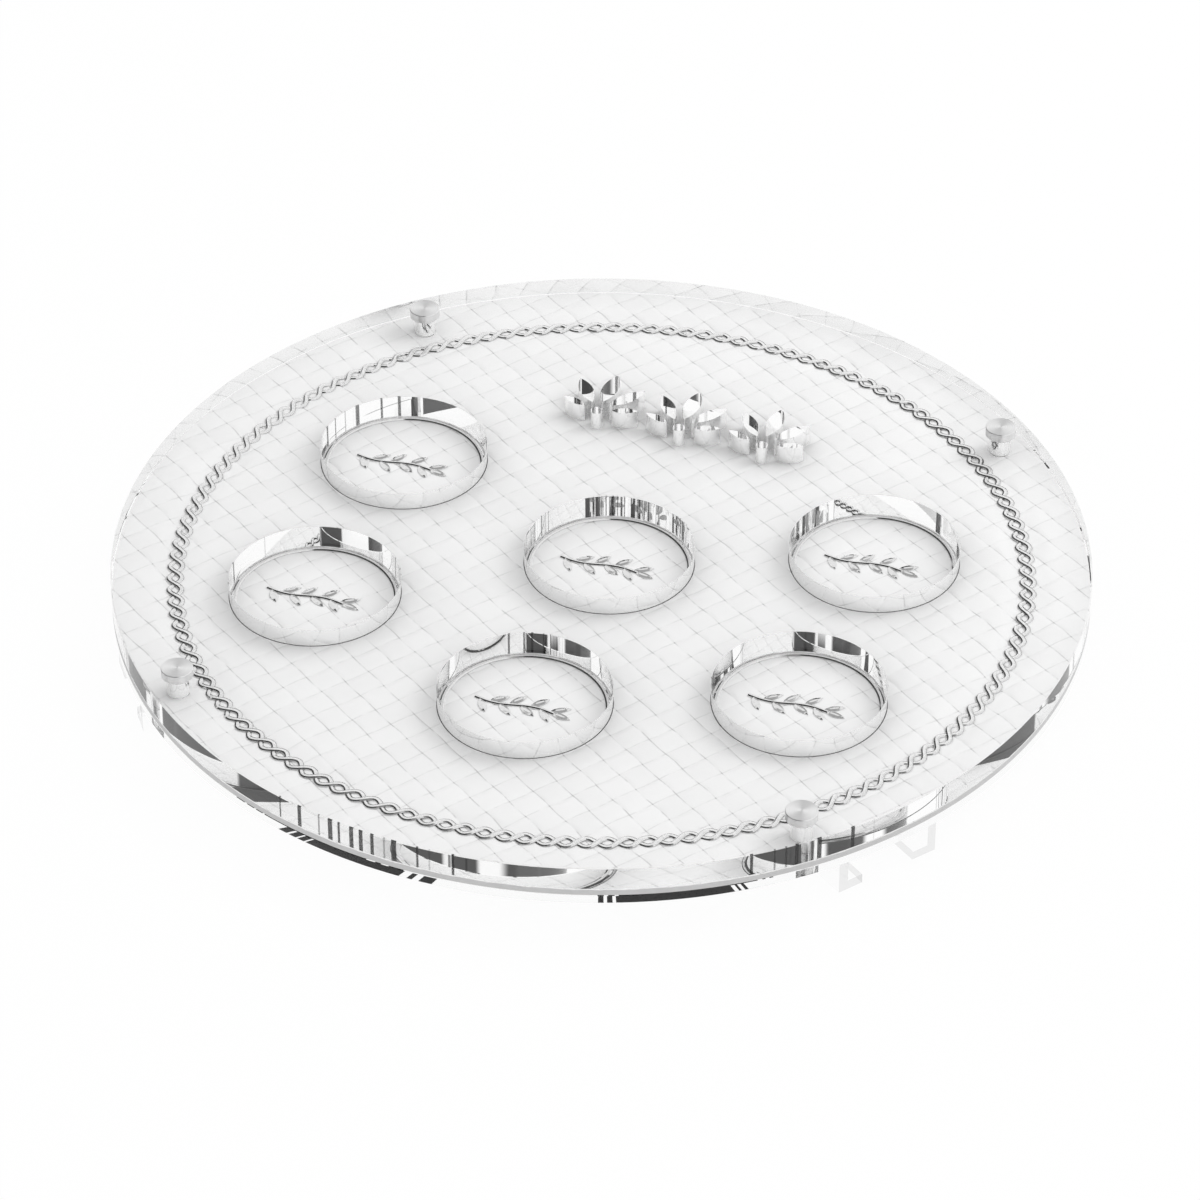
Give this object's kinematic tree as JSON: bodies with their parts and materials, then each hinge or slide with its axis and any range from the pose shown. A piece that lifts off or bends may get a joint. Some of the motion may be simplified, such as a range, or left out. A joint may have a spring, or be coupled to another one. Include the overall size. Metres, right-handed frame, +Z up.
{
  "type": "seder plate",
  "caption": "Round seder plate of clear acrylic over woven white leatherette, with round wells for foods, a silver rope border, turned metal standoffs and clear L-shaped feet.",
  "frame": {"origin": "centre of the plate on the surface that the feet stand on", "axes": "+Z up out of the plate's top face, +Y towards the leaf frieze, +X to the right of someone reading it"},
  "size_m": [0.3799, 0.38, 0.0345],
  "materials": {
    "clear_acrylic": "polished clear",
    "white_leatherette": "satin, embossed basket weave",
    "white_board": "matte",
    "silver_trim": "satin silver",
    "brushed_metal": "turned and brushed",
    "clear_washer": "translucent"
  },
  "bodies": {
    "root": {"top_plate": "clear_acrylic", "base_plate": "clear_acrylic", "leather_panel": "white_leatherette", "backing_board": "white_board", "rope_border": "silver_trim", "well_ring_left_upper": "silver_trim", "well_sprig_left_upper": "silver_trim", "well_ring_left_lower": "silver_trim", "well_sprig_left_lower": "silver_trim", "well_ring_centre_upper": "silver_trim", "well_sprig_centre_upper": "silver_trim", "well_ring_centre_lower": "silver_trim", "well_sprig_centre_lower": "silver_trim", "well_ring_right_upper": "silver_trim", "well_sprig_right_upper": "silver_trim", "well_ring_right_lower": "silver_trim", "well_sprig_right_lower": "silver_trim", "standoff_nut_front_left": "brushed_metal", "foot_lip_front_left_a": "clear_acrylic", "foot_wall_front_left_a": "clear_acrylic", "foot_lip_front_left_b": "clear_acrylic", "foot_wall_front_left_b": "clear_acrylic", "standoff_nut_front_right": "brushed_metal", "foot_lip_front_right_a": "clear_acrylic", "foot_wall_front_right_a": "clear_acrylic", "foot_lip_front_right_b": "clear_acrylic", "foot_wall_front_right_b": "clear_acrylic", "standoff_nut_back_left": "brushed_metal", "foot_lip_back_left_a": "clear_acrylic", "foot_wall_back_left_a": "clear_acrylic", "foot_lip_back_left_b": "clear_acrylic", "foot_wall_back_left_b": "clear_acrylic", "standoff_nut_back_right": "brushed_metal", "foot_lip_back_right_a": "clear_acrylic", "foot_wall_back_right_a": "clear_acrylic", "foot_lip_back_right_b": "clear_acrylic", "foot_wall_back_right_b": "clear_acrylic"},
    "washer_front_left": {"standoff_washer_front_left": "clear_washer"},
    "cap_front_left": {"standoff_cap_front_left": "brushed_metal", "standoff_stud_front_left": "brushed_metal"},
    "washer_front_right": {"standoff_washer_front_right": "clear_washer"},
    "cap_front_right": {"standoff_cap_front_right": "brushed_metal", "standoff_stud_front_right": "brushed_metal"},
    "washer_back_left": {"standoff_washer_back_left": "clear_washer"},
    "cap_back_left": {"standoff_cap_back_left": "brushed_metal", "standoff_stud_back_left": "brushed_metal"},
    "washer_back_right": {"standoff_washer_back_right": "clear_washer"},
    "cap_back_right": {"standoff_cap_back_right": "brushed_metal", "standoff_stud_back_right": "brushed_metal"}
  },
  "joints": [
    {"name": "lift_front_left", "type": "slide", "parent": "root", "child": "washer_front_left", "axis": [0, 0, 1], "range_m": [0, 0.004]},
    {"name": "turn_front_left", "type": "hinge", "parent": "washer_front_left", "child": "cap_front_left", "pos_m": [-0.12352, -0.12747, 0.0305], "axis": [0, 0, 1], "range_deg": [0, 1800]},
    {"name": "lift_front_right", "type": "slide", "parent": "root", "child": "washer_front_right", "axis": [0, 0, 1], "range_m": [0, 0.004]},
    {"name": "turn_front_right", "type": "hinge", "parent": "washer_front_right", "child": "cap_front_right", "pos_m": [0.12352, -0.12747, 0.0305], "axis": [0, 0, 1], "range_deg": [0, 1800]},
    {"name": "lift_back_left", "type": "slide", "parent": "root", "child": "washer_back_left", "axis": [0, 0, 1], "range_m": [0, 0.004]},
    {"name": "turn_back_left", "type": "hinge", "parent": "washer_back_left", "child": "cap_back_left", "pos_m": [-0.12352, 0.12747, 0.0305], "axis": [0, 0, 1], "range_deg": [0, 1800]},
    {"name": "lift_back_right", "type": "slide", "parent": "root", "child": "washer_back_right", "axis": [0, 0, 1], "range_m": [0, 0.004]},
    {"name": "turn_back_right", "type": "hinge", "parent": "washer_back_right", "child": "cap_back_right", "pos_m": [0.12352, 0.12747, 0.0305], "axis": [0, 0, 1], "range_deg": [0, 1800]}
  ],
  "couplings": [
    {"joint": "lift_front_left", "follows": "turn_front_left", "m_per_rad": 0.00012732},
    {"joint": "lift_front_right", "follows": "turn_front_right", "m_per_rad": 0.00012732},
    {"joint": "lift_back_left", "follows": "turn_back_left", "m_per_rad": 0.00012732},
    {"joint": "lift_back_right", "follows": "turn_back_right", "m_per_rad": 0.00012732}
  ]
}
